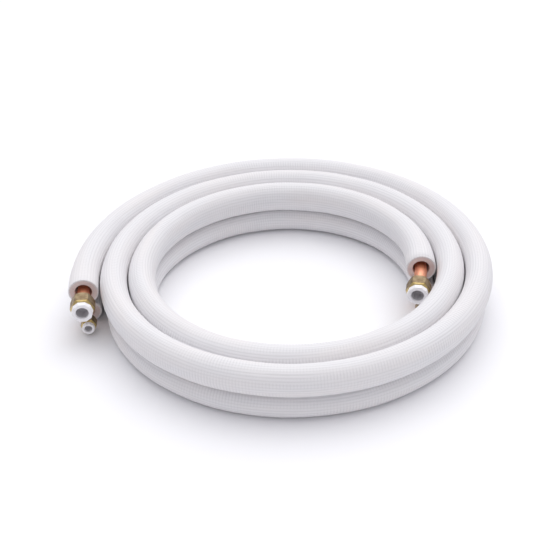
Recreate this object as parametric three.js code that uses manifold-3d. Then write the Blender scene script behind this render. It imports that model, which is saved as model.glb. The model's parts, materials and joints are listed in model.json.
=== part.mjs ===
// A pair coil of pre-insulated copper tube: a larger gas tube lying on a smaller
// liquid tube, each in its own foam sleeve, wound together in one flat coil of
// two and a half turns. Each of the four ends has a flare, a brass flare nut and
// a white plastic plug that is screwed into the nut.
// Millimetres, +Z up. The coil lies on the floor and its tube ends point to -Y.

import * as THREE from 'three';
import { mergeVertices } from 'three/addons/utils/BufferGeometryUtils.js';
import Module from 'manifold-3d';

const wasm = await Module();
wasm.setup();

// Driving dimensions of the coil.
const TOUCH_GAP = 0.3; // clearance between pieces that touch
const TURNS = 2.5;
const OVERRUN_ANGLE = 6; // degrees that the outer end goes on turning past those turns
const STEP_ANGLE = 12; // degrees between two sections of the sweep
const EASE_ANGLE = 48; // degrees over which a free end comes away from its neighbour

// Driving dimensions of the sleeves, tubes, nuts and plugs.
const BORE_PLAY = 4.3; // sleeve bore wider than the copper tube
const COPPER_WALL = 0.8;
const NUT_WALL = 1.6; // brass between the nut's thread and its flats
const NUT_NECK = 3; // from the nut's back to the seat on which the flare bears
const FLARE_CLEARANCE = 1; // from the flare's rim to the thread
const PLUG_PLAY = 0.5; // from the plug's shank to the thread
const PLUG_NOSE_GAP = 1; // from the plug's shank to the flare
const PLUG_FLOOR = 2; // bottom of the plug's recess
const PLUG_TAPER = 0.97; // flange's front over its back
const PLUG_RECESS = 0.62; // recess over flange

// Sides of the many-sided outlines that stand for round ones.
const SLEEVE_SIDES = 16;
const BORE_SIDES = 8;
const COPPER_SIDES = 8;
const ROUND_SIDES = 16;
const PLUG_SIDES = 10;

// What differs between the two tubes.
const GAS = {
  name: 'gas',
  copperDiameter: 12.7,
  meanRadius: 173.5, // coil axis to the tube's axis, halfway along the tube
  innerShift: 1.6, // how far the inner end has come away from its neighbour
  outerShift: 1.6, // the same at the outer end
  foamWall: 7,
  pressedWidth: 0.91, // of the round sleeve's width, where its neighbours press it
  pressedHeight: 1.07, // of its height
  innerTail: 10.5, // straight sleeve before the first turn
  outerTail: 15, // straight sleeve after the last turn
  innerBare: 26, // copper seen between the sleeve and the nut
  outerBare: 13,
  innerBend: 9, // degrees that the copper goes on bending at the inner end
  threadDiameter: 19,
  nutLength: 16,
  plugAcrossFlats: 20.8,
  plugFlange: 5,
};
const LIQUID = {
  name: 'liquid',
  copperDiameter: 6.35,
  meanRadius: 172,
  innerShift: 0,
  outerShift: 3.5,
  foamWall: 7.5,
  pressedWidth: 1,
  pressedHeight: 1,
  innerTail: 10.5,
  outerTail: 6,
  innerBare: 20,
  outerBare: 13,
  innerBend: 4,
  threadDiameter: 11.1,
  nutLength: 12,
  plugAcrossFlats: 12.6,
  plugFlange: 4,
};

// Sizes that follow from the driving dimensions.
const boreDiameter = (tube) => tube.copperDiameter + BORE_PLAY;
const sleeveDiameter = (tube) => boreDiameter(tube) + 2 * tube.foamWall;
const turnWidth = (tube) => sleeveDiameter(tube) * tube.pressedWidth;
const turnHeight = (tube) => sleeveDiameter(tube) * tube.pressedHeight;
const nutAcrossFlats = (tube) => tube.threadDiameter + 2 * NUT_WALL;

// The turns of a tube lie side by side, and the gas tube lies on the liquid tube.
const halfStep = THREE.MathUtils.degToRad(STEP_ANGLE / 2);
const turnPitch = (tube) => (turnWidth(tube) + TOUCH_GAP) / Math.cos(halfStep);
const LIQUID_AXIS_HEIGHT = turnHeight(LIQUID) / 2;
const GAS_AXIS_HEIGHT = turnHeight(LIQUID) + TOUCH_GAP + turnHeight(GAS) / 2;
const LAST_ANGLE = 360 * TURNS + OVERRUN_ANGLE;

// Corner radius of a regular outline whose flats lie at the given radius.
const cornerRadius = (radius, sides) => radius / Math.cos(Math.PI / sides);

// Materials

const foamMaterial = new THREE.MeshStandardMaterial({
  name: 'white_foam', color: '#e9e9eb', roughness: 0.8, metalness: 0,
});
const copperMaterial = new THREE.MeshStandardMaterial({
  name: 'copper', color: '#c8794f', roughness: 0.35, metalness: 1,
});
const brassMaterial = new THREE.MeshStandardMaterial({
  name: 'brass', color: '#a08c5c', roughness: 0.4, metalness: 1,
});
const plugMaterial = new THREE.MeshStandardMaterial({
  name: 'white_plastic', color: '#e6e5ea', roughness: 0.45, metalness: 0,
});

// The path of a tube

// How free the tube is of its neighbours: 1 at its two ends, 0 in the turns.
function freedom(fromEnd) {
  const inside = THREE.MathUtils.clamp(fromEnd / EASE_ANGLE, 0, 1);
  return (1 - inside) ** 2;
}

const innerFreedom = (angle) => freedom(angle);
const outerFreedom = (angle) => freedom(LAST_ANGLE - angle);

// A point of a tube's axis. The angle is in degrees and grows with each turn.
function spiralPoint(tube, angle) {
  const turn = THREE.MathUtils.degToRad(angle);
  const growth = turnPitch(tube) * (angle / 360 - TURNS / 2);
  const ease = tube.outerShift * outerFreedom(angle) - tube.innerShift * innerFreedom(angle);
  const radius = tube.meanRadius + growth + ease;
  return new THREE.Vector3(radius * Math.cos(turn), radius * Math.sin(turn), 0);
}

// A section of a sweep: its middle, the tube's direction there, and the width and
// height to which the section is pressed.
function spiralStation(tube, angle) {
  const nudge = 0.01;
  const ahead = spiralPoint(tube, angle + nudge);
  const behind = spiralPoint(tube, angle - nudge);
  const free = innerFreedom(angle) + outerFreedom(angle);
  return {
    point: spiralPoint(tube, angle),
    direction: ahead.sub(behind).normalize(),
    width: THREE.MathUtils.lerp(tube.pressedWidth, 1, free),
    height: THREE.MathUtils.lerp(tube.pressedHeight, 1, free),
  };
}

// The same section, moved straight along the tube.
function movedStation(station, distance) {
  const point = station.point.clone().addScaledVector(station.direction, distance);
  return { ...station, point };
}

// A level curve through a list of stations, which are the sections of its sweep.
class StationPath extends THREE.Curve {
  constructor(stations, pressed) {
    super();
    this.stations = stations;
    this.pressed = pressed;
  }

  get steps() {
    return this.stations.length - 1;
  }

  getPoint(t, target = new THREE.Vector3()) {
    const place = THREE.MathUtils.clamp(t, 0, 1) * this.steps;
    const index = Math.min(Math.floor(place + 1e-9), this.steps - 1);
    const [first, second] = [this.stations[index], this.stations[index + 1]];
    return target.copy(first.point).lerp(second.point, place - index);
  }

  // Steps go from station to station, whatever the distance between them.
  getUtoTmapping(u) {
    return u;
  }

  // A section's first axis points down and its second one to the coil's middle.
  computeFrenetFrames() {
    const tangents = [];
    const normals = [];
    const binormals = [];
    for (const { direction, width, height } of this.stations) {
      const down = new THREE.Vector3(0, 0, -1);
      const inward = new THREE.Vector3().crossVectors(direction, down);
      tangents.push(direction);
      normals.push(down.multiplyScalar(this.pressed ? height : 1));
      binormals.push(inward.multiplyScalar(this.pressed ? width : 1));
    }
    return { tangents, normals, binormals };
  }
}

function turnStations(tube) {
  const stations = [];
  for (let angle = 0; angle < LAST_ANGLE; angle += STEP_ANGLE) {
    stations.push(spiralStation(tube, angle));
  }
  stations.push(spiralStation(tube, LAST_ANGLE));
  return stations;
}

function sleevePath(tube) {
  const stations = turnStations(tube);
  const [first, last] = [stations[0], stations[stations.length - 1]];
  return new StationPath([
    movedStation(first, -tube.innerTail),
    ...stations,
    movedStation(last, tube.outerTail),
  ], true);
}

// The copper runs on from the sleeve's ends, through the nuts' necks to the flares.
function copperPath(tube) {
  const stations = turnStations(tube);
  const last = stations[stations.length - 1];
  const outerRun = tube.outerTail + tube.outerBare + NUT_NECK;
  const bend = spiralStation(tube, -tube.innerBend);
  const innerRun = tube.innerTail + tube.innerBare + NUT_NECK
    - bend.point.distanceTo(stations[0].point);
  return new StationPath([
    movedStation(bend, -innerRun),
    bend,
    ...stations,
    movedStation(last, outerRun),
  ], false);
}

// Sections

// A round outline with flats at the top, the bottom and both sides. A drop
// lowers it on its path.
function outlinePoints(diameter, sides, drop = 0) {
  const corner = cornerRadius(diameter / 2, sides);
  const points = [];
  for (let i = 0; i < sides; i += 1) {
    const angle = ((i + 0.5) * 2 * Math.PI) / sides;
    points.push(new THREE.Vector2(corner * Math.cos(angle) + drop, corner * Math.sin(angle)));
  }
  return points;
}

function ringShape(outer, inner) {
  const shape = new THREE.Shape(outer);
  shape.holes.push(new THREE.Path(inner));
  return shape;
}

function sweep(shape, path) {
  return new THREE.ExtrudeGeometry(shape, {
    steps: path.steps,
    extrudePath: path,
    bevelEnabled: false,
  });
}

// Boolean work

function toSolid(geometry) {
  const bare = geometry.clone();
  bare.deleteAttribute('normal');
  bare.deleteAttribute('uv');
  const merged = mergeVertices(bare, 1e-3);
  return new wasm.Manifold(new wasm.Mesh({
    numProp: 3,
    vertProperties: merged.attributes.position.array,
    triVerts: new Uint32Array(realTriangles(merged.index.array)),
  }));
}

// Triangles with three different corners. Those at the poles of a turned piece
// have two corners in one place.
function realTriangles(index) {
  const triangles = [];
  for (let i = 0; i < index.length; i += 3) {
    const [a, b, c] = [index[i], index[i + 1], index[i + 2]];
    if (a !== b && b !== c && c !== a) {
      triangles.push(a, b, c);
    }
  }
  return triangles;
}

function toGeometry(solid) {
  const mesh = solid.getMesh();
  const geometry = new THREE.BufferGeometry();
  geometry.setAttribute('position', new THREE.BufferAttribute(mesh.vertProperties, 3));
  geometry.setIndex(new THREE.BufferAttribute(mesh.triVerts, 1));
  return geometry;
}

// A turned solid along +Z from a list of [radius, z]. The list runs up the
// outside, and both its ends lie on the axis unless it closes on itself.
function turned(profile, sides = ROUND_SIDES) {
  const points = profile.map(([radius, z]) => new THREE.Vector2(radius, z));
  const geometry = new THREE.LatheGeometry(points, sides);
  return geometry.rotateX(Math.PI / 2);
}

// Pieces

// A copper tube lies on the bottom of its sleeve's bore.
const COPPER_DROP = BORE_PLAY / 2 - TOUCH_GAP;

function sleeveGeometry(tube) {
  const outer = outlinePoints(sleeveDiameter(tube), SLEEVE_SIDES);
  const bore = outlinePoints(boreDiameter(tube), BORE_SIDES);
  return sweep(ringShape(outer, bore), sleevePath(tube));
}

// The hole in the nut's back, which clears the copper tube's corners.
const nutNeckRadius = (tube) => cornerRadius(tube.copperDiameter / 2, COPPER_SIDES) + TOUCH_GAP;

// The widened end of the copper, on which the nut pulls. It starts in the middle
// of the tube's wall and follows the nut's seat at 45 degrees, clear of it.
function flareGeometry(tube) {
  const outside = tube.copperDiameter / 2;
  const bore = cornerRadius(outside - COPPER_WALL, COPPER_SIDES);
  const root = (outside + bore) / 2;
  const start = root + TOUCH_GAP * Math.SQRT2 - nutNeckRadius(tube);
  const rim = tube.threadDiameter / 2 - FLARE_CLEARANCE;
  const rimHeight = start + rim - root;
  return turned([
    [root, start],
    [rim, rimHeight],
    [rim - COPPER_WALL, rimHeight + COPPER_WALL],
    [root, start + 2 * COPPER_WALL],
    [root, start],
  ]);
}

function copperGeometry(tube, ends) {
  const bore = tube.copperDiameter - 2 * COPPER_WALL;
  const shape = ringShape(
    outlinePoints(tube.copperDiameter, COPPER_SIDES, COPPER_DROP),
    outlinePoints(bore, COPPER_SIDES, COPPER_DROP),
  );
  let solid = toSolid(sweep(shape, copperPath(tube)));
  for (const end of ends) {
    const flare = toSolid(flareGeometry(tube).applyMatrix4(end.matrix));
    solid = solid.add(flare);
  }
  return toGeometry(solid);
}

// Nut and plug stand on the tube's end, which is at z = 0 and looks along +Z.
const nutMouth = (tube) => tube.nutLength - NUT_NECK;

// A hexagon with turned chamfers, a neck for the tube and a bore for the thread.
function nutGeometry(tube) {
  const back = -NUT_NECK;
  const front = nutMouth(tube);
  const flat = nutAcrossFlats(tube) / 2;
  const corner = cornerRadius(flat, 6);
  const outside = corner + 1;
  const chamfer = corner - flat + 1;
  const neck = cornerRadius(nutNeckRadius(tube), ROUND_SIDES);
  const thread = tube.threadDiameter / 2;

  const hexagon = new THREE.CylinderGeometry(corner, corner, tube.nutLength, 6);
  hexagon.rotateX(Math.PI / 2).rotateZ(Math.PI / 6).translate(0, 0, (back + front) / 2);
  const envelope = turned([
    [0, back - 1],
    [corner - 0.5, back - 1],
    [corner - 0.5, back],
    [outside, back + 1],
    [outside, front - chamfer * 1.3],
    [corner - chamfer, front],
    [corner - chamfer, front + 1],
    [0, front + 1],
  ], 24);
  const bore = turned([
    [0, back - 1],
    [neck, back - 1],
    [neck, 0],
    [thread, thread - neck],
    [thread, front + 1],
    [0, front + 1],
  ]);
  return toGeometry(toSolid(hexagon).intersect(toSolid(envelope)).subtract(toSolid(bore)));
}

// The plug's shank goes into the nut and its faceted flange stays outside.
function plugGeometry(tube) {
  const flangeBack = nutMouth(tube) + TOUCH_GAP;
  const flangeFront = flangeBack + tube.plugFlange;
  const flareHeight = (tube.threadDiameter - tube.copperDiameter) / 2 + COPPER_WALL;
  const nose = flareHeight + PLUG_NOSE_GAP;
  const shank = tube.threadDiameter / 2 - PLUG_PLAY;
  const flange = tube.plugAcrossFlats / 2;
  const recess = flange * PLUG_RECESS;

  const head = new THREE.CylinderGeometry(
    cornerRadius(flange * PLUG_TAPER, PLUG_SIDES),
    cornerRadius(flange, PLUG_SIDES),
    tube.plugFlange,
    PLUG_SIDES,
  );
  head.rotateX(Math.PI / 2).translate(0, 0, (flangeBack + flangeFront) / 2);
  const stem = turned([
    [0, nose],
    [shank, nose],
    [shank, flangeBack + 1],
    [0, flangeBack + 1],
  ]);
  const hollow = turned([
    [0, nose + PLUG_FLOOR],
    [recess * 0.8, nose + PLUG_FLOOR],
    [recess, flangeFront + 1],
    [0, flangeFront + 1],
  ]);
  return toGeometry(toSolid(head).add(toSolid(stem)).subtract(toSolid(hollow)));
}

// Assembly

const coil = new THREE.Group();
coil.name = 'pre_insulated_copper_pair_coil';

function addMesh(parent, name, geometry, material) {
  const mesh = new THREE.Mesh(geometry, material);
  mesh.name = name;
  parent.add(mesh);
  return mesh;
}

// Where an end of the copper tube stands, with +Z along the tube, out of it.
function tubeEnd(name, station, sign) {
  const outward = station.direction.clone().multiplyScalar(sign);
  const up = new THREE.Vector3(0, 0, 1);
  const across = new THREE.Vector3().crossVectors(up, outward);
  const matrix = new THREE.Matrix4().makeBasis(across, up, outward);
  matrix.setPosition(station.point.x, station.point.y, -COPPER_DROP);
  return { name, matrix };
}

function addTube(tube, axisHeight) {
  const group = new THREE.Group();
  group.position.z = axisHeight;
  coil.add(group);

  const { stations } = copperPath(tube);
  const ends = [
    tubeEnd('inner', stations[0], -1),
    tubeEnd('outer', stations[stations.length - 1], 1),
  ];
  addMesh(group, `${tube.name}_insulation`, sleeveGeometry(tube), foamMaterial);
  addMesh(group, `${tube.name}_copper_tube`, copperGeometry(tube, ends), copperMaterial);
  for (const end of ends) {
    const fitting = new THREE.Group();
    end.matrix.decompose(fitting.position, fitting.quaternion, fitting.scale);
    group.add(fitting);
    addMesh(fitting, `${tube.name}_flare_nut_${end.name}`, nutGeometry(tube), brassMaterial);
    addMesh(fitting, `${tube.name}_plug_${end.name}`, plugGeometry(tube), plugMaterial);
  }
}

addTube(LIQUID, LIQUID_AXIS_HEIGHT);
addTube(GAS, GAS_AXIS_HEIGHT);

// The origin is the middle of the footprint, on the floor.
const box = new THREE.Box3().setFromObject(coil, true);
const centre = box.getCenter(new THREE.Vector3());
coil.position.set(-centre.x, -centre.y, -box.min.z);

export default coil;
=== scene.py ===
# %% [markdown]
# # A pair coil of pre-insulated copper tube
# Two soft copper tubes, each in a white foam sleeve, are wound together in a flat
# coil: the larger gas tube lies on the smaller liquid tube. Each of the four tube
# ends carries a brass flare nut, closed by a white plastic plug.
#
# The CAD model already fixes every size and place. It is loaded first and is never
# moved or changed. This script hides its many-sided pieces one by one and puts a
# finer piece with a real finish in the same place.

# %% Load the CAD model
import json
import math

import bmesh
import bpy
import numpy as np
from mathutils import Matrix, Vector


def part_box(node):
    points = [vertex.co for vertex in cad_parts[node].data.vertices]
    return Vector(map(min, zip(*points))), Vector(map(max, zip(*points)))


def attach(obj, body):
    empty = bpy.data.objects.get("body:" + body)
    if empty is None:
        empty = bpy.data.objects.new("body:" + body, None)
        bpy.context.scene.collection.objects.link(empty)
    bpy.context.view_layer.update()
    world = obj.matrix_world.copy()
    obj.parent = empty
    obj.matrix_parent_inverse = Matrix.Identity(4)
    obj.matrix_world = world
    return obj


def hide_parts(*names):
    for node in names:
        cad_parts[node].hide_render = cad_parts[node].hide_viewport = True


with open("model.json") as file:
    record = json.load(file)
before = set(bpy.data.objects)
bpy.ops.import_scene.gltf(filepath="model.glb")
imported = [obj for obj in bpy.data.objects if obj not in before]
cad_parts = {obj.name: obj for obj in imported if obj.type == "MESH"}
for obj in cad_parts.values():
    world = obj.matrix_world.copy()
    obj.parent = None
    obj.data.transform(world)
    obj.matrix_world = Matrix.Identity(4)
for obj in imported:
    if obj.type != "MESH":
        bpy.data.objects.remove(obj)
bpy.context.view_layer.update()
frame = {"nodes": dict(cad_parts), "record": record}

MM = 0.001  # Blender works in metres here, and the real sizes are in millimetres
print("CAD nodes:", sorted(frame["nodes"]))

# %% [markdown]
# ## The line that both tubes follow
# Each tube is wound in a spiral. Its turns touch, so the distance between two turns
# is the width of a sleeve. In the turns the gas sleeve is pressed by its neighbours:
# it is narrower and taller than at its free ends, where it is round again.
#
# A curve object with a bevel could draw such a tube, but it keeps one section from
# end to end. So each piece here is a list of rings, and every ring can have its own
# size. These are the same sizes that the CAD model was made with.

# %% Sizes of the coil
# Sizes are in millimetres, and angles in degrees.
TOUCH_GAP = 0.3  # between pieces that touch
TURNS = 2.5
OVERRUN_ANGLE = 6  # the outer end goes on turning past those turns
LAST_ANGLE = 360 * TURNS + OVERRUN_ANGLE
CAD_STEP = 12  # angle between two sections of the CAD sweep
CAD_SIDES = 16
EASE_ANGLE = 48  # over this angle a free end comes away from its neighbour
BORE_PLAY = 4.3  # the sleeve's bore is that much wider than the copper
NUT_NECK = 3  # from the nut's back to the flare

# "pressed" is the width and height of a section in the turns, as shares of a free one.
# Each end has a shift off the spiral, a straight tail of the sleeve, and bare copper.
GAS = {
    "name": "gas",
    "copper": 12.7,
    "foam_wall": 7.0,
    "pressed": (0.91, 1.07),
    "mean_radius": 173.5,
    "inner_shift": 1.6,
    "outer_shift": 1.6,
    "inner_tail": 10.5,
    "outer_tail": 15,
    "inner_bare": 26,
    "outer_bare": 13,
    "inner_bend": 9,
    "thread": 19,
    "nut_across_flats": 22.2,
    "plug_across_flats": 20.8,
    "plug_flange": 5,
}
LIQUID = {
    "name": "liquid",
    "copper": 6.35,
    "foam_wall": 7.5,
    "pressed": (1.0, 1.0),
    "mean_radius": 172,
    "inner_shift": 0,
    "outer_shift": 3.5,
    "inner_tail": 10.5,
    "outer_tail": 6,
    "inner_bare": 20,
    "outer_bare": 13,
    "inner_bend": 4,
    "thread": 11.1,
    "nut_across_flats": 14.3,
    "plug_across_flats": 12.6,
    "plug_flange": 4,
}
print("each tube makes", TURNS, "turns and goes on for", OVERRUN_ANGLE, "degrees")

# %% Widths that follow from the sizes
def bore_radius(tube):
    return (tube["copper"] + BORE_PLAY) / 2


def sleeve_radius(tube):
    return bore_radius(tube) + tube["foam_wall"]


def pitch(tube):
    """How much the spiral grows in one turn."""
    width = 2 * sleeve_radius(tube) * tube["pressed"][0]
    return (width + TOUCH_GAP) / math.cos(math.radians(CAD_STEP / 2))


liquid_height = sleeve_radius(LIQUID)
gas_height = 2 * sleeve_radius(LIQUID) + TOUCH_GAP + sleeve_radius(GAS) * GAS["pressed"][1]
for tube, height in ((LIQUID, liquid_height), (GAS, gas_height)):
    tube["height"] = height
    print(tube["name"], "sleeve", 2 * sleeve_radius(tube), "mm, one turn", round(pitch(tube), 2))

# %% A station of the spiral
def freedom(from_end):
    """1 at a free end, 0 where the tube lies pressed in its turns."""
    return (1 - min(max(from_end / EASE_ANGLE, 0), 1)) ** 2


def spiral_point(tube, angle):
    radius = tube["mean_radius"] + pitch(tube) * (angle / 360 - TURNS / 2)
    radius += tube["outer_shift"] * freedom(LAST_ANGLE - angle)
    radius -= tube["inner_shift"] * freedom(angle)
    turn = math.radians(angle)
    return np.array([radius * math.cos(turn), radius * math.sin(turn), tube["height"]])


def station(tube, angle):
    """Where the tube's axis is, which way it runs, and how the section is pressed."""
    direction = spiral_point(tube, angle + 0.01) - spiral_point(tube, angle - 0.01)
    free = freedom(angle) + freedom(LAST_ANGLE - angle)
    width, height = tube["pressed"]
    return {
        "point": spiral_point(tube, angle),
        "direction": direction / np.linalg.norm(direction),
        "width": width + (1 - width) * free,
        "height": height + (1 - height) * free,
    }


def moved(place, distance):
    """The same station, moved straight along the tube."""
    return {**place, "point": place["point"] + place["direction"] * distance}


def turn_angles(step):
    """From 0 to the last angle, which is always one of them."""
    return np.append(np.arange(0, LAST_ANGLE - step / 4, step), LAST_ANGLE)


for tube in (LIQUID, GAS):
    for end, angle in (("inner", 0), ("outer", LAST_ANGLE)):
        radius = np.linalg.norm(spiral_point(tube, angle)[:2])
        print(tube["name"], end, "end of the spiral at a radius of", round(radius, 1), "mm")

# %% [markdown]
# The CAD model was moved so that its box is centred on the origin. To find that move,
# the same many-sided sweep of the gas sleeve is repeated here, and its box is compared
# with the box of the CAD sleeve. If the sizes agree, the distance between the two
# middles is the move.

# %% Find the coil's own centre
def cad_corners(tube):
    corners = []
    places = [station(tube, angle) for angle in turn_angles(CAD_STEP)]
    ends = [moved(places[0], -tube["inner_tail"]), moved(places[-1], tube["outer_tail"])]
    radius = sleeve_radius(tube) / math.cos(math.pi / CAD_SIDES)
    for place in places + ends:
        inward = np.cross(place["direction"], [0, 0, -1])
        for i in range(CAD_SIDES):
            angle = (i + 0.5) * math.tau / CAD_SIDES
            side = inward * math.sin(angle) * radius * place["width"]
            down = np.array([0, 0, -math.cos(angle) * radius * place["height"]])
            corners.append(place["point"] + side + down)
    return np.array(corners)


corners = cad_corners(GAS)
own_middle = (corners.min(0) + corners.max(0)) / 2
cad_low, cad_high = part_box("gas_insulation")
cad_middle = np.array((cad_low + cad_high) / 2) / MM
COIL_CENTRE = cad_middle - own_middle
COIL_CENTRE[2] = 0
size_error = (corners.max(0) - corners.min(0)) - np.array(cad_high - cad_low) / MM
print("coil centre in mm:", np.round(COIL_CENTRE, 3), "size error:", np.round(size_error, 3))

# %% [markdown]
# ## From rings to a mesh
# A ring is a closed row of points round the tube. Two rings next to each other are
# joined by four-sided faces. When the last ring is joined to the first one, the
# mesh is a closed tube wall: outside, end face, bore and the other end face.
#
# The UV map holds real lengths: U runs along the tube and V round it, in metres. So
# a groove every 3 mm stays a groove every 3 mm, but for the stretch in a bend.

# %% Mesh helpers
SHARP_ANGLE = math.radians(38)


def ring(place, radius, points, shift=0.0, drop=0.0):
    """Points round a station: radius in mm, shift along the tube, drop downwards."""
    angles = np.arange(points) * math.tau / points
    inward = np.cross(place["direction"], [0, 0, -1])
    radius = np.broadcast_to(radius, points)
    side = np.outer(np.sin(angles) * radius * place["width"], inward)
    down = np.outer(np.cos(angles) * radius * place["height"] + drop, [0, 0, -1])
    return place["point"] + place["direction"] * shift + side + down


def mark_sharp_edges(mesh):
    for edge in mesh.edges:
        edge.smooth = edge.calc_face_angle(0) < SHARP_ANGLE
    for face in mesh.faces:
        face.smooth = True


def mesh_from_rings(name, rings, slots, materials, closed=True):
    """Joins rings into a mesh. slots holds a material number for each gap between rings.

    If it isn't closed, its first and last ring are covered by a flat face."""
    mesh = bmesh.new()
    uv_layer = mesh.loops.layers.uv.new("along_and_round")
    points = len(rings[0])
    rows = [[mesh.verts.new(p * MM) for p in row] for row in rings]
    steps = [np.linalg.norm((b - a).mean(0)) for a, b in zip(rings, rings[1:])]
    lengths = np.concatenate([[0], np.cumsum(steps)])
    girth = np.linalg.norm(rings[0] - np.roll(rings[0], 1, axis=0), axis=1).sum()
    last = len(rings) if closed else len(rings) - 1
    for i in range(last):
        j = (i + 1) % len(rings)
        for k in range(points):
            m = (k + 1) % points
            face = mesh.faces.new((rows[i][k], rows[i][m], rows[j][m], rows[j][k]))
            face.material_index = slots[i]
            for loop, along, around in zip(face.loops, (i, i, j, j), (k, k + 1, k + 1, k)):
                loop[uv_layer].uv = (lengths[along] * MM, around / points * girth * MM)
    if not closed:
        mesh.faces.new(rows[0]).material_index = slots[0]
        mesh.faces.new(rows[-1]).material_index = slots[-1]
    bmesh.ops.recalc_face_normals(mesh, faces=mesh.faces)
    mark_sharp_edges(mesh)
    data = bpy.data.meshes.new(name)
    mesh.to_mesh(data)
    mesh.free()
    for material in materials:
        data.materials.append(material)
    piece = bpy.data.objects.new(name, data)
    bpy.context.scene.collection.objects.link(piece)
    print(name, len(data.polygons), "faces")
    return piece

# %% [markdown]
# ## Finishes: how a material is built here
# Each material is a small tree of nodes. One function adds a node, sets its options
# and links its inputs, so that a tree can be read from top to bottom. Colours are
# written as the sRGB hex values that a painter would pick, and one function turns
# them into the linear values that Blender needs.

# %% Node helpers
def linear(hex_colour):
    """#rrggbb in sRGB to linear red, green, blue and alpha."""
    values = [int(hex_colour[i : i + 2], 16) / 255 for i in (1, 3, 5)]
    bent = [v / 12.92 if v <= 0.04045 else ((v + 0.055) / 1.055) ** 2.4 for v in values]
    return (*bent, 1.0)


def add_node(tree, kind, inputs=None, **settings):
    """Adds a node. An input is a value, or another node's output to link to it."""
    node = tree.nodes.new(kind)
    for name, value in settings.items():
        setattr(node, name, value)
    for name, value in (inputs or {}).items():
        if isinstance(value, bpy.types.NodeSocket):
            tree.links.new(value, node.inputs[name])
        else:
            node.inputs[name].default_value = value
    return node


def new_material(name):
    """An empty material, and its shader with default settings."""
    material = bpy.data.materials.new(name)
    material.use_nodes = True
    tree = material.node_tree
    tree.nodes.clear()
    shader = add_node(tree, "ShaderNodeBsdfPrincipled")
    add_node(tree, "ShaderNodeOutputMaterial", {"Surface": shader.outputs["BSDF"]})
    return material, tree, shader


print("the sRGB grey #808080 is", round(linear("#808080")[0], 3), "in linear light")

# %% [markdown]
# ## Embossed polyethylene film
# The sleeve is closed-cell polyethylene foam with a white film welded on it. A roller
# presses fine grooves into the film, along the tube and across it. To the eye it is a
# matte white skin: in full light it looks plain, and in the shade the grooves show.
# The roller doesn't press evenly, so in some places only one set can be seen.
#
# The grooves are far too fine to be worth real geometry on nearly three metres of
# tube, so they are bump. A sine wave, raised to a power, gives narrow grooves between
# wide flat bands. A slow noise bends the waves a little, so that no line is quite
# straight.

# %% Grooves of the film
RIB_PITCH = 2.9 * MM  # real film: about 1.5 mm; drawn coarser, as it shows in the photo
LINE_PITCH = 3.1 * MM
GROOVE_SHARPNESS = 2.5
GROOVE_WANDER = 1.0  # how many pitches the slow noise can move a groove


def grooves(tree, coordinate, pitch, wander):
    """Narrow grooves across one coordinate: 1 in a groove, 0 between two."""
    steps = add_node(
        tree,
        "ShaderNodeMath",
        {0: coordinate, 1: 1 / pitch, 2: wander},
        operation="MULTIPLY_ADD",
    )
    phase = add_node(
        tree, "ShaderNodeMath", {0: steps.outputs[0], 1: math.tau}, operation="MULTIPLY"
    )
    wave = add_node(tree, "ShaderNodeMath", {0: phase.outputs[0]}, operation="SINE")
    positive = add_node(tree, "ShaderNodeMapRange", {"Value": wave.outputs[0], "From Min": -1.0})
    return add_node(
        tree,
        "ShaderNodeMath",
        {0: positive.outputs[0], 1: GROOVE_SHARPNESS},
        operation="POWER",
    ).outputs[0]


pitches = [round(size / MM, 1) for size in (RIB_PITCH, LINE_PITCH)]
print("grooves every", pitches[0], "mm along the tube and", pitches[1], "mm round it")

# %% [markdown]
# ### Where the grooves show
# Two noises steer the grooves. A slow one bends them. A second one stands for the
# pressure of the roller: where it is high, the ribs across the tube bite, and where it
# is low, the lines along it. Both noises are drawn out along the tube, since the film
# ran that way under the roller. Real sizes in metres set how long and wide they are.

# %% Patches of the film
BEND_SIZE = (90 * MM, 18 * MM)
PRESSURE_SIZE = (110 * MM, 11 * MM)


def drawn_out_noise(tree, place, size, detail, roughness=0.5, start=(0, 0, 0)):
    """A noise whose patches have a given length along the tube and width round it."""
    scaled = add_node(
        tree,
        "ShaderNodeMapping",
        {
            "Vector": place.outputs["UV"],
            "Location": start,
            "Scale": (1 / size[0], 1 / size[1], 1),
        },
    )
    return add_node(
        tree,
        "ShaderNodeTexNoise",
        {
            "Vector": scaled.outputs[0],
            "Scale": 1.0,
            "Detail": detail,
            "Roughness": roughness,
        },
    )


print("length and width of a bend in mm:", [round(size / MM) for size in BEND_SIZE])
print("of a hard or soft patch:", [round(size / MM) for size in PRESSURE_SIZE])

# %% Pattern of the film
PRESSURE_START = (3.0, 5.0, 0.0)  # elsewhere in the noise, so that it doesn't repeat
RIBS_BITE = (0.42, 0.62)  # between these pressures the ribs come in
LINES_FADE = (0.4, 0.66)  # between these the lines go, down to a last share
LINES_LEFT = 0.15


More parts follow.
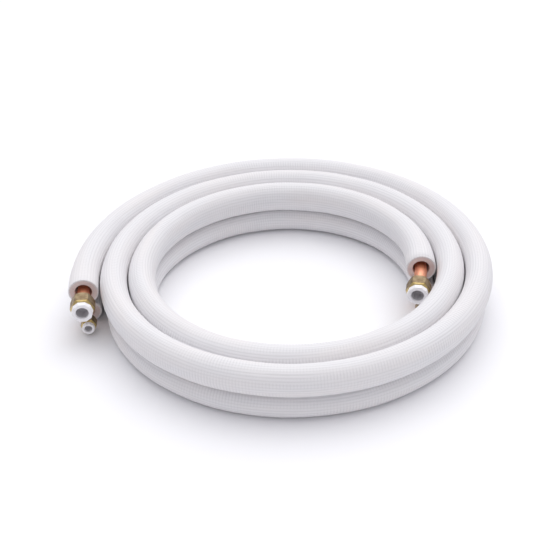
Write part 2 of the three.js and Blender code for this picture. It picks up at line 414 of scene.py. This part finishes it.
def film_pattern(tree, place):
    """The grooves' depth, and the two noises that steer them."""
    split = add_node(tree, "ShaderNodeSeparateXYZ", {"Vector": place.outputs["UV"]})
    slow = drawn_out_noise(tree, place, BEND_SIZE, 1.0)
    wander = add_node(
        tree,
        "ShaderNodeMath",
        {0: slow.outputs[0], 1: GROOVE_WANDER},
        operation="MULTIPLY",
    )
    ribs = grooves(tree, split.outputs["X"], RIB_PITCH, wander.outputs[0])
    lines = grooves(tree, split.outputs["Y"], LINE_PITCH, wander.outputs[0])

    pressure = drawn_out_noise(tree, place, PRESSURE_SIZE, 2.5, start=PRESSURE_START)
    rib_share = add_node(
        tree,
        "ShaderNodeMapRange",
        {"Value": pressure.outputs[0], "From Min": RIBS_BITE[0], "From Max": RIBS_BITE[1]},
    )
    line_share = add_node(
        tree,
        "ShaderNodeMapRange",
        {
            "Value": pressure.outputs[0],
            "From Min": LINES_FADE[0],
            "From Max": LINES_FADE[1],
            "To Min": 1.0,
            "To Max": LINES_LEFT,
        },
    )
    pressed_ribs = add_node(
        tree, "ShaderNodeMath", {0: ribs, 1: rib_share.outputs[0]}, operation="MULTIPLY"
    )
    grid = add_node(
        tree,
        "ShaderNodeMath",
        {0: lines, 1: line_share.outputs[0], 2: pressed_ribs.outputs[0]},
        operation="MULTIPLY_ADD",
    )
    return grid, slow, pressure


print("the ribs show from a pressure of", RIBS_BITE[0], "and the lines below", LINES_FADE[1])

# %% [markdown]
# ### Relief of the film
# Two bump nodes in a row make the relief: first the fine grooves, and on top of them
# the long, thin creases that the film gets in a bend. Distance is a real depth here.

# %% Relief of the film
CREASE_SIZE = (160 * MM, 4 * MM)
GROOVE_DEPTH = 0.15 * MM
CREASE_DEPTH = 0.45 * MM


def film_relief(tree, place, grid):
    creases = drawn_out_noise(tree, place, CREASE_SIZE, 3.0, roughness=0.6)
    crease_shape = add_node(
        tree,
        "ShaderNodeMapRange",
        {"Value": creases.outputs[0], "From Min": 0.3, "From Max": 0.5},
    )
    groove_bump = add_node(
        tree,
        "ShaderNodeBump",
        {"Height": grid.outputs[0], "Strength": 0.6, "Distance": GROOVE_DEPTH},
        invert=True,
    )
    return add_node(
        tree,
        "ShaderNodeBump",
        {
            "Height": crease_shape.outputs[0],
            "Strength": 0.5,
            "Distance": CREASE_DEPTH,
            "Normal": groove_bump.outputs[0],
        },
    )


depths = [round(depth / MM, 2) for depth in (GROOVE_DEPTH, CREASE_DEPTH)]
print("grooves", depths[0], "mm deep, creases", depths[1], "mm deep")

# %% [markdown]
# ### Colour and gloss of the film
# White film looks grey where light can't reach, so its grooves get a colour that is a
# little darker. Some stretches are a trace warmer. Its gloss is low and follows the
# pressure of the roller.

# %% Film material
def embossed_film():
    material, tree, shader = new_material("embossed_polyethylene_film")
    place = add_node(tree, "ShaderNodeUVMap", uv_map="along_and_round")
    grid, slow, pressure = film_pattern(tree, place)
    relief = film_relief(tree, place, grid)
    film_colour = add_node(
        tree,
        "ShaderNodeMix",
        {"Factor": grid.outputs[0], "A": linear("#e9e8ea"), "B": linear("#dddcde")},
        data_type="RGBA",
    )
    warm_share = add_node(
        tree,
        "ShaderNodeMapRange",
        {"Value": slow.outputs[0], "From Min": 0.4, "From Max": 0.75, "To Max": 0.4},
    )
    colour = add_node(
        tree,
        "ShaderNodeMix",
        {
            "Factor": warm_share.outputs[0],
            "A": film_colour.outputs["Result"],
            "B": linear("#ebe5e3"),
        },
        data_type="RGBA",
    )
    gloss = add_node(
        tree,
        "ShaderNodeMapRange",
        {"Value": pressure.outputs[0], "To Min": 0.62, "To Max": 0.78},
    )
    tree.links.new(colour.outputs["Result"], shader.inputs["Base Color"])
    tree.links.new(gloss.outputs[0], shader.inputs["Roughness"])
    tree.links.new(relief.outputs[0], shader.inputs["Normal"])
    shader.inputs["IOR"].default_value = 1.51  # polyethylene
    shader.inputs["Specular IOR Level"].default_value = 0.35
    return material


film = embossed_film()
print("made", film.name)

# %% [markdown]
# ## The cut ends of the foam
# Where a sleeve is cut off, its section shows: closed-cell foam of a pinkish grey,
# soft and slightly rough, with the thin white film as a rim. Inside the bore the foam
# is dark, because the copper nearly fills it. The cells are under a millimetre wide,
# so a fine noise stands for them.

# %% Foam core material
CELL_SIZE = 0.9 * MM
CELL_DEPTH = 0.3 * MM
FOAM_CLOUD = 6 * MM


def cut_foam():
    material, tree, shader = new_material("cut_polyethylene_foam")
    place = add_node(tree, "ShaderNodeTexCoord")
    cells = add_node(
        tree,
        "ShaderNodeTexVoronoi",
        {"Vector": place.outputs["Object"], "Scale": 1 / CELL_SIZE},
    )
    cloud = add_node(
        tree,
        "ShaderNodeTexNoise",
        {"Vector": place.outputs["Object"], "Scale": 1 / FOAM_CLOUD, "Detail": 2.0},
    )
    tint = add_node(
        tree,
        "ShaderNodeMix",
        {"Factor": cloud.outputs[0], "A": linear("#d8c9c8"), "B": linear("#ece2df")},
        data_type="RGBA",
    )
    relief = add_node(
        tree,
        "ShaderNodeBump",
        {"Height": cells.outputs["Distance"], "Strength": 0.6, "Distance": CELL_DEPTH},
    )
    tree.links.new(tint.outputs["Result"], shader.inputs["Base Color"])
    tree.links.new(relief.outputs[0], shader.inputs["Normal"])
    shader.inputs["Roughness"].default_value = 0.9
    shader.inputs["IOR"].default_value = 1.45
    return material


foam = cut_foam()
print("made", foam.name)

# %% [markdown]
# ## The two sleeves
# A sleeve is one closed wall. Its outside follows the stations of the spiral. At each
# end the film turns over a soft edge, the foam face is set back a little, and then the
# bore runs back through the whole tube. Foam is never quite even, so the outside also
# swells and sinks by up to three tenths of a millimetre.

# %% Surface and ends of a sleeve
SLEEVE_POINTS = 56
UNEVENNESS = 0.08  # of each of the four waves in swell
FILM_RIM = 2.0  # how far the white film turns over the cut edge


def swell(tube, angle, points):
    """A slow unevenness of the sleeve, from four waves that don't repeat together.

    Each wave has a beat along the coil, a beat round the sleeve, and a start."""
    around = np.arange(points) * math.tau / points
    turn = math.radians(angle) + len(tube["name"])
    waves = [(3.1, 1, 0.2), (5.7, 2, 1.9), (9.3, 1, 4.0), (14.9, 3, 2.6)]
    return sum(np.sin(a * turn + b * around + c) for a, b, c in waves) * UNEVENNESS


def sleeve_end(place, outside, bore, outward):
    """Rings over a cut end, from the film to the bore. outward is 1 or -1.

    Each row is a radius, and how far it lies in front of the end's plane."""
    film_rows = [(outside - 0.2, -1.4), (outside - 0.4, -0.4), (outside - 0.9, 0)]
    film_rows.append((outside - FILM_RIM, -0.2))
    foam_rows = [((outside + bore) / 2, -0.6), (bore + 0.8, -0.5), (bore + 0.2, -0.8)]
    foam_rows.append((bore, -1.6))
    rows = film_rows + foam_rows
    rings = [ring(place, radius, SLEEVE_POINTS, shift * outward) for radius, shift in rows]
    return rings, [False] * len(film_rows) + [True] * len(foam_rows)


print("the white rim of a cut end is", FILM_RIM, "mm wide")

# %% Build the sleeves
SLEEVE_STEP = 2  # degrees between two rings
TURN_INSET = 0.3  # keeps the uneven turns clear of each other
TAIL_INSET = 0.25
QUIET_ANGLE = 8  # over this angle the unevenness fades at an end


def sleeve_rings(tube):
    """Rings down the outside, over one end, back through the bore and over the other."""
    outside, bore, n = sleeve_radius(tube), bore_radius(tube), SLEEVE_POINTS
    angles = turn_angles(SLEEVE_STEP)
    places = [station(tube, angle) for angle in angles]
    first, last = places[0], places[-1]
    inner_tail, outer_tail = tube["inner_tail"], tube["outer_tail"]

    skin = [ring(moved(first, -inner_tail / 2), outside - TAIL_INSET, n)]
    for angle, place in zip(angles, places):
        quiet = min(1, angle / QUIET_ANGLE, (LAST_ANGLE - angle) / QUIET_ANGLE)
        skin.append(ring(place, outside - TURN_INSET + swell(tube, angle, n) * quiet, n))
    skin.append(ring(moved(last, outer_tail / 2), outside - TAIL_INSET, n))

    outer_cut, is_foam = sleeve_end(moved(last, outer_tail), outside, bore, 1)
    inner_cut, is_foam = sleeve_end(moved(first, -inner_tail), outside, bore, -1)
    inside = [ring(place, bore, n) for place in reversed(places)]
    rings = skin + outer_cut + inside + inner_cut[::-1]

    # A strip between two rings is foam if one of them lies on the foam.
    foam_ring = [False] * len(skin) + is_foam + [True] * len(inside) + is_foam[::-1]
    next_ring = foam_ring[1:] + foam_ring[:1]
    slots = [int(here or following) for here, following in zip(foam_ring, next_ring)]
    return [row + COIL_CENTRE for row in rings], slots


for tube in (LIQUID, GAS):
    rings, slots = sleeve_rings(tube)
    sleeve = mesh_from_rings(f"{tube['name']}_sleeve", rings, slots, [film, foam])
    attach(sleeve, "root")
    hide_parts(f"{tube['name']}_insulation")

# %% [markdown]
# ## Copper
# The tubes are soft annealed copper, drawn through a die. The surface is bright but
# not polished: a warm salmon orange, with darker brown clouds where fingers and air
# have tarnished it, and very fine lines along the tube from the die.
#
# A metal has no base reflection of its own to set, so IOR stays at its default.
# Metallic is 1 and the base colour is the colour of the reflection.

# %% Copper material
DRAWING_LINE = (60 * MM, 0.5 * MM)  # real die lines are finer than this
DRAWING_DEPTH = 0.03 * MM
TARNISH_CLOUD = 14 * MM


def drawn_copper():
    material, tree, shader = new_material("drawn_annealed_copper")
    place = add_node(tree, "ShaderNodeUVMap", uv_map="along_and_round")
    clouds = add_node(
        tree,
        "ShaderNodeTexNoise",
        {"Vector": place.outputs["UV"], "Scale": 1 / TARNISH_CLOUD, "Detail": 4.0},
    )
    lines = drawn_out_noise(tree, place, DRAWING_LINE, 2.0)
    tarnish = add_node(
        tree,
        "ShaderNodeMapRange",
        {"Value": clouds.outputs[0], "From Min": 0.42, "From Max": 0.72},
    )
    colour = add_node(
        tree,
        "ShaderNodeMix",
        {"Factor": tarnish.outputs[0], "A": linear("#f8b494"), "B": linear("#d08a66")},
        data_type="RGBA",
    )
    gloss = add_node(
        tree,
        "ShaderNodeMapRange",
        {"Value": clouds.outputs[0], "To Min": 0.38, "To Max": 0.6},
    )
    relief = add_node(
        tree,
        "ShaderNodeBump",
        {"Height": lines.outputs[0], "Strength": 0.25, "Distance": DRAWING_DEPTH},
    )
    tree.links.new(colour.outputs["Result"], shader.inputs["Base Color"])
    tree.links.new(gloss.outputs[0], shader.inputs["Roughness"])
    tree.links.new(relief.outputs[0], shader.inputs["Normal"])
    shader.inputs["Metallic"].default_value = 1.0
    return material


copper = drawn_copper()
print("made", copper.name)

# %% [markdown]
# ## The copper tubes
# Each tube lies on the bottom of its bore and comes out of both sleeve ends. Inside
# the nut its end is flared: widened to a cone at 45 degrees, which the nut pulls
# against the fitting. The wall of the tube is 0.8 mm thick.

# %% Build the copper tubes
COPPER_WALL = 0.8
COPPER_DROP = BORE_PLAY / 2 - TOUCH_GAP
COPPER_STEP = 4
COPPER_POINTS = 32
FLARE_CLEARANCE = 1
FLARE_START = 0.2
FLARE_MOUTH = 1.5


def copper_stations(tube):
    """Stations from the inner end of the tube to the outer one."""
    places = [station(tube, angle) for angle in turn_angles(COPPER_STEP)]
    bend = station(tube, -tube["inner_bend"])
    middle_bend = station(tube, -tube["inner_bend"] / 2)
    bent_length = np.linalg.norm(bend["point"] - places[0]["point"])
    inner_run = tube["inner_tail"] + tube["inner_bare"] + NUT_NECK - bent_length
    outer_run = tube["outer_tail"] + tube["outer_bare"] + NUT_NECK
    inner_end, outer_end = moved(bend, -inner_run), moved(places[-1], outer_run)
    places = [inner_end, bend, middle_bend, *places, outer_end]
    return [{**place, "width": 1, "height": 1} for place in places]


def copper_rings(tube):
    outside = tube["copper"] / 2
    inside = outside - COPPER_WALL
    rim = tube["thread"] / 2 - FLARE_CLEARANCE
    rise = rim - outside
    places = copper_stations(tube)
    first, last = places[0], places[-1]
    flare = [(outside, FLARE_START), (rim, FLARE_START + rise), (inside, FLARE_MOUTH)]
    rows = [(place, outside, 0) for place in places]
    rows += [(last, radius, shift) for radius, shift in flare]
    rows += [(place, inside, 0) for place in reversed(places)]
    rows += [(first, radius, -shift) for radius, shift in reversed(flare)]
    n, drop = COPPER_POINTS, COPPER_DROP
    return [ring(place, r, n, shift, drop) + COIL_CENTRE for place, r, shift in rows]


for tube in (LIQUID, GAS):
    rings = copper_rings(tube)
    piece = mesh_from_rings(f"{tube['name']}_copper", rings, [0] * len(rings), [copper])
    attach(piece, "root")
    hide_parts(f"{tube['name']}_copper_tube")

# %% [markdown]
# ## Brass
# The flare nuts are forged from brass bar. The six flats keep the dull, olive brown
# skin of the forge, with small scratches. The chamfer at the mouth was turned on a
# lathe, so it is bright yellow and shows fine rings. These are two finishes of one
# metal, so one function makes both, with other colours and gloss.

# %% Brass materials
LATHE_RING = 0.6 * MM
LATHE_RING_DEPTH = 0.05 * MM
STAIN_SIZE = 5 * MM
STAIN_DEPTH = 0.15 * MM


def brass_finish(name, light, dark, gloss_low, gloss_high, ring_strength):
    material, tree, shader = new_material(name)
    place = add_node(tree, "ShaderNodeTexCoord")
    stains = add_node(
        tree,
        "ShaderNodeTexNoise",
        {"Vector": place.outputs["Object"], "Scale": 1 / STAIN_SIZE, "Detail": 5.0},
    )
    split = add_node(tree, "ShaderNodeSeparateXYZ", {"Vector": place.outputs["Object"]})
    phase = add_node(
        tree,
        "ShaderNodeMath",
        {0: split.outputs["Z"], 1: math.tau / LATHE_RING},
        operation="MULTIPLY",
    )
    turned = add_node(tree, "ShaderNodeMath", {0: phase.outputs[0]}, operation="SINE")
    stained = add_node(
        tree,
        "ShaderNodeMapRange",
        {"Value": stains.outputs[0], "From Min": 0.35, "From Max": 0.7},
    )
    colour = add_node(
        tree,
        "ShaderNodeMix",
        {"Factor": stained.outputs[0], "A": linear(light), "B": linear(dark)},
        data_type="RGBA",
    )
    gloss = add_node(
        tree,
        "ShaderNodeMapRange",
        {"Value": stains.outputs[0], "To Min": gloss_low, "To Max": gloss_high},
    )
    skin = add_node(
        tree,
        "ShaderNodeBump",
        {"Height": stains.outputs[0], "Strength": 0.3, "Distance": STAIN_DEPTH},
    )
    rings = add_node(
        tree,
        "ShaderNodeBump",
        {
            "Height": turned.outputs[0],
            "Strength": ring_strength,
            "Distance": LATHE_RING_DEPTH,
            "Normal": skin.outputs[0],
        },
    )
    tree.links.new(colour.outputs["Result"], shader.inputs["Base Color"])
    tree.links.new(gloss.outputs[0], shader.inputs["Roughness"])
    tree.links.new(rings.outputs[0], shader.inputs["Normal"])
    shader.inputs["Metallic"].default_value = 1.0
    return material


forged = brass_finish("forged_brass_flats", "#a8977a", "#7c6850", 0.42, 0.62, 0.0)
turned = brass_finish("turned_brass_chamfer", "#cbb67f", "#a08752", 0.24, 0.4, 0.4)
print("made", forged.name, "and", turned.name)

# %% [markdown]
# ## The flare nuts
# Seen along its axis, a nut is a hexagon that a cone has cut. So its radius at any
# angle and height is simply the smaller of two values: the hexagon's radius at that
# angle, and the cone's radius at that height. The curved lines where the chamfer
# meets the flats come out of this by themselves.
#
# The hexagon's corners are a little round. A sum of six cosines, each raised to a
# high power, gives such a hexagon: the higher the power, the sharper the corners.

# %% Place a fitting on its tube end
MOUNTS = {m["name"]: m for m in frame["record"]["mounts"]}


def fitting_place(node, tube_name, end_name):
    """A matrix at the back of a CAD node, with Z along the tube, out of it."""
    outward = Vector(MOUNTS[f"{tube_name}_{end_name}_end"]["axis"]).normalized()
    up = Vector((0, 0, 1))
    across = up.cross(outward)
    points = [v.co for v in frame["nodes"][node].data.vertices]
    along = [p.dot(outward) for p in points]
    sideways = [p.dot(across) for p in points]
    heights = [p.z for p in points]
    back = outward * min(along) + across * (min(sideways) + max(sideways)) / 2
    back += up * (min(heights) + max(heights)) / 2
    length = max(along) - min(along)
    turn = Matrix((across, up, outward)).transposed().to_4x4()
    return Matrix.Translation(back) @ turn, length


print("mounts of the CAD model:", sorted(MOUNTS))

# %% Outline of a nut
NUT_POINTS = 96
NUT_SHARPNESS = 60


def regular_outline(sides, flat_radius, points, sharpness, first_flat):
    """Radii of a regular outline with rounded corners, one for each point."""
    angles = np.arange(points) * math.tau / points
    flats = first_flat + np.arange(sides) * math.tau / sides
    cosines = np.clip(np.cos(angles[:, None] - flats[None, :]), 0, 1)
    return flat_radius / (cosines**sharpness).sum(1) ** (1 / sharpness)


def level_rows(rows, points):
    """Rings of a piece that stands on Z, from pairs of radius and height."""
    angles = np.arange(points) * math.tau / points
    made = []
    for radius, height in rows:
        radius = np.broadcast_to(radius, points)
        level = np.full(points, height)
        made.append(np.stack([radius * np.cos(angles), radius * np.sin(angles), level], 1))
    return made


small_nut = regular_outline(6, 1, NUT_POINTS, NUT_SHARPNESS, math.pi / 2)
print("a nut's corners reach", round(small_nut.max(), 3), "times as far as its flats")

# %% Build the nuts
NECK_PLAY = 1
BACK_CHAMFER = 2.0
CHAMFER_SLOPE = 1.3  # length of the front chamfer over its depth


def nut_rows(tube, length):
    """Pairs of radius and height, up the outside and down the bore, and their finish."""
    flat = tube["nut_across_flats"] / 2
    corner = flat / math.cos(math.pi / 6)
    hexagon = regular_outline(6, flat, NUT_POINTS, NUT_SHARPNESS, math.pi / 2)
    chamfer = corner - flat + 1
    neck = tube["copper"] / 2 + NECK_PLAY
    thread = tube["thread"] / 2
    dull, bright = 0, 1  # numbers of the forged and the turned finish

    rows = [(neck, 0), (flat - 1.2, 0), (flat - 0.5, 0.15)]
    finish = [bright, bright, dull]
    for height in np.linspace(0.3, BACK_CHAMFER, 6):
        rows.append((np.minimum(hexagon, flat - 0.2 + height), height))
        finish.append(dull)
    rows.append((hexagon, length / 2))
    finish.append(dull)

    # The front chamfer's cone. Its first third cuts only the corners, and stays forged.
    start, end = length - CHAMFER_SLOPE * chamfer, length - 0.3
    for share in np.linspace(0, 1, 14):
        cone = corner + 0.2 - share * (chamfer - 0.6)
        rows.append((np.minimum(hexagon, cone), start + share * (end - start)))
        finish.append(dull if share < 0.3 else bright)

    rows += [(corner - chamfer, length), (thread + 0.5, length), (thread, length - 0.5)]
    rows += [(thread, NUT_NECK + thread - neck), (neck, NUT_NECK)]
    finish += [bright] * 5
    return rows, finish


ENDS = [(tube, end) for tube in (GAS, LIQUID) for end in ("inner", "outer")]

for tube, end in ENDS:
    node = f"{tube['name']}_flare_nut_{end}"
    place, length = fitting_place(node, tube["name"], end)
    rows, finish = nut_rows(tube, length / MM)
    rings = level_rows(rows, NUT_POINTS)
    nut = mesh_from_rings(f"{tube['name']}_nut_{end}", rings, finish, [forged, turned])
    nut.matrix_world = place
    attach(nut, "root")
    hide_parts(node)

# %% [markdown]
# ## White moulded plastic
# The plugs keep dirt and moisture out of the tube on its way to the buyer. They are
# moulded in soft polyethylene, which is white, slightly see-through at its edges and
# smooth, with a faint violet tinge in the shade. A little light goes into the
# plastic and comes out again nearby: subsurface scattering gives that soft look.
#
# The recess is another matter. A rough steel pin shapes it in the mould, so its skin
# is matte, and it is deep and narrow, so little light comes out of it again. That
# shade is painted: the recess gets a grey colour without the inner light, from the
# same function.

# %% Plug materials
FLOW_SIZE = 4 * MM
FLOW_DEPTH = 0.1 * MM
LIGHT_REACH = 1.0 * MM  # how far light gets into the plastic


def moulded_polyethylene(name, light, dark, gloss_low, gloss_high, inner_light):
    material, tree, shader = new_material(name)
    place = add_node(tree, "ShaderNodeTexCoord")
    flow = add_node(
        tree,
        "ShaderNodeTexNoise",
        {"Vector": place.outputs["Object"], "Scale": 1 / FLOW_SIZE, "Detail": 2.0},
    )
    colour = add_node(
        tree,
        "ShaderNodeMix",
        {"Factor": flow.outputs[0], "A": linear(light), "B": linear(dark)},
        data_type="RGBA",
    )
    gloss = add_node(
        tree,
        "ShaderNodeMapRange",
        {"Value": flow.outputs[0], "To Min": gloss_low, "To Max": gloss_high},
    )
    relief = add_node(
        tree,
        "ShaderNodeBump",
        {"Height": flow.outputs[0], "Strength": 0.15, "Distance": FLOW_DEPTH},
    )
    tree.links.new(colour.outputs["Result"], shader.inputs["Base Color"])
    tree.links.new(gloss.outputs[0], shader.inputs["Roughness"])
    tree.links.new(relief.outputs[0], shader.inputs["Normal"])
    shader.inputs["IOR"].default_value = 1.51
    shader.inputs["Subsurface Weight"].default_value = inner_light
    shader.inputs["Subsurface Scale"].default_value = LIGHT_REACH
    shader.inputs["Subsurface Radius"].default_value = (1.0, 1.0, 1.0)
    return material


plastic = moulded_polyethylene("moulded_white_polyethylene", "#f8f7f8", "#efedf0", 0.3, 0.45, 0.12)
# The grey of the recess is a painted shade for its deep hollow, not the plastic's colour.
recess_painted_shade = moulded_polyethylene("polyethylene_recess_painted_shade", "#c9c6c8", "#b6b3b6", 0.6, 0.75, 0.0)
print("made", plastic.name, "and", recess_painted_shade.name)

# %% [markdown]
# ## The plugs
# A plug is a round shank that screws into the nut, with a ten-sided flange outside
# for the fingers. The flange narrows a little to the front, and a deep round recess
# keeps the wall of the moulding even.

# %% Build the plugs
PLUG_POINTS = 120
PLUG_SIDES = 10
PLUG_TAPER = 0.97  # width of the flange's front over its back
PLUG_RECESS = 0.62  # width of the recess over the flange's
PLUG_PLAY = 0.5
PLUG_FLOOR = 2.0
PLUG_SHARPNESS = 300


def plug_rows(tube, length):
    """Pairs of radius and height, up the outside and down the recess, and their finish."""
    flat = tube["plug_across_flats"] / 2
    back = regular_outline(PLUG_SIDES, flat, PLUG_POINTS, PLUG_SHARPNESS, math.pi / 2)
    front = back * PLUG_TAPER
    shank = tube["thread"] / 2 - PLUG_PLAY
    recess = flat * PLUG_RECESS
    step = length - tube["plug_flange"]
    smooth_rows = [
        (shank * 0.5, 0),
        (shank - 0.6, 0),
        (shank, 0.6),
        (shank, step),
        (back - 0.4, step),
        (back, step + 0.4),
        (front, length - 0.5),
        (front - 0.15, length - 0.15),
        (front - 0.5, length),
        (recess + 0.7, length),
        (recess + 0.2, length - 0.25),
        (recess, length - 0.7),
    ]
    # Deeper in the recess the rows take the painted shade: grey instead of white.
    painted_shade_rows = [
        (recess - 0.1, length - 2.2),
        (recess * 0.8, PLUG_FLOOR + 0.6),
        (recess * 0.7, PLUG_FLOOR + 0.1),
        (recess * 0.3, PLUG_FLOOR),
    ]
    return smooth_rows + painted_shade_rows, [0] * len(smooth_rows) + [1] * len(painted_shade_rows)


for tube, end in ENDS:
    node = f"{tube['name']}_plug_{end}"
    place, length = fitting_place(node, tube["name"], end)
    rows, finish = plug_rows(tube, length / MM)
    rings = level_rows(rows, PLUG_POINTS)
    name = f"{tube['name']}_end_plug_{end}"
    plug = mesh_from_rings(name, rings, finish, [plastic, recess_painted_shade], closed=False)
    plug.matrix_world = place
    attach(plug, "root")
    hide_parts(node)

# %% [markdown]
# ## The studio
# The photo was taken on a bright white sweep: the background is pure white, and only
# a soft, faintly violet shadow lies round the coil. A large white floor under a
# bright, even sky gives that. One very soft lamp, high up behind the coil, makes the
# tops of the tubes light and leaves their fronts in a pale grey shade.

# %% Floor
def studio_floor():
    material, tree, shader = new_material("white_studio_floor")
    place = add_node(tree, "ShaderNodeTexCoord")
    grain = add_node(
        tree,
        "ShaderNodeTexNoise",
        {"Vector": place.outputs["Object"], "Scale": 3.0, "Detail": 2.0},
    )
    colour = add_node(
        tree,
        "ShaderNodeMix",
        {"Factor": grain.outputs[0], "A": linear("#f4f4f6"), "B": linear("#f8f8fa")},
        data_type="RGBA",
    )
    tree.links.new(colour.outputs["Result"], shader.inputs["Base Color"])
    shader.inputs["Roughness"].default_value = 0.9
    shader.inputs["Specular IOR Level"].default_value = 0.1
    return material


FLOOR_HALF = 6.0
floor_mesh = bpy.data.meshes.new("studio_floor")
floor_corners = [(-1, -1), (1, -1), (1, 1), (-1, 1)]
floor_mesh.from_pydata(
    [(x * FLOOR_HALF, y * FLOOR_HALF, 0) for x, y in floor_corners], [], [(0, 1, 2, 3)]
)
floor_mesh.materials.append(studio_floor())
floor = bpy.data.objects.new("studio_floor", floor_mesh)
bpy.context.scene.collection.objects.link(floor)
print("floor", 2 * FLOOR_HALF, "m wide")

# %% Sky
SKY_AT_HORIZON = 0.56
SKY_OVERHEAD = 0.74

world = bpy.data.worlds.new("white_studio")
world.use_nodes = True
bpy.context.scene.world = world
sky = world.node_tree
background = sky.nodes["Background"]
background.inputs["Color"].default_value = linear("#f6f5fa")
direction = add_node(sky, "ShaderNodeTexCoord")
height = add_node(sky, "ShaderNodeSeparateXYZ", {"Vector": direction.outputs["Generated"]})
brightness = add_node(
    sky,
    "ShaderNodeMapRange",
    {"Value": height.outputs["Z"], "To Min": SKY_AT_HORIZON, "To Max": SKY_OVERHEAD},
)
sky.links.new(brightness.outputs[0], background.inputs["Strength"])
print("sky from", SKY_AT_HORIZON, "at the horizon to", SKY_OVERHEAD, "overhead")

# %% Lamp
LAMP_SOURCE = (0.12, 0.5, 1.2)  # a direction: a little right, behind and high up
LAMP_SPREAD = 70  # degrees of the sky that the lamp fills
LAMP_POWER = 1.75


def soft_sun(name, source, spread, power):
    """A very wide sun: it lights a large floor evenly and still throws soft shadows."""
    lamp = bpy.data.lights.new(name, "SUN")
    lamp.angle = math.radians(spread)
    lamp.energy = power
    holder = bpy.data.objects.new(name, lamp)
    holder.rotation_euler = (-Vector(source)).to_track_quat("-Z", "Y").to_euler()
    bpy.context.scene.collection.objects.link(holder)
    return holder


soft_sun("lamp_above_and_behind", LAMP_SOURCE, LAMP_SPREAD, LAMP_POWER)
bpy.context.scene.view_settings.view_transform = "Standard"

# %% [markdown]
# ## The camera
# The photo looks down on the coil at about 34 degrees, from well away, with a long
# lens. The photo is turned by about a degree and a half, which is kept.

# %% Camera
FOCAL_PIXELS = 1222.7
FRAME_PIXELS = 550
SENSOR_WIDTH = 36
SEES_UP_TO = 50  # in metres, so that the whole floor is in reach
LOOK_DOWN = math.radians(33.87)
DISTANCE = 1.3309  # in metres, from the camera to the point that it looks at
ROLL = 0.0275  # in radians
AIM = Vector((-0.01497, 0.04854, 0)) + Vector(COIL_CENTRE) * MM

camera_data = bpy.data.cameras.new("photo_camera")
camera_data.sensor_width = SENSOR_WIDTH
camera_data.lens = FOCAL_PIXELS / FRAME_PIXELS * SENSOR_WIDTH
camera_data.clip_end = SEES_UP_TO
camera = bpy.data.objects.new("photo_camera", camera_data)
bpy.context.scene.collection.objects.link(camera)
forward = Vector((0, math.cos(LOOK_DOWN), -math.sin(LOOK_DOWN)))
right = Vector((1, 0, 0))
up = right.cross(forward)
rolled_right = right * math.cos(ROLL) - up * math.sin(ROLL)
rolled_up = rolled_right.cross(forward)
turn = Matrix((rolled_right, rolled_up, -forward)).transposed().to_4x4()
camera.matrix_world = Matrix.Translation(AIM - forward * DISTANCE) @ turn
bpy.context.scene.camera = camera
print("lens in mm:", round(camera_data.lens, 1))
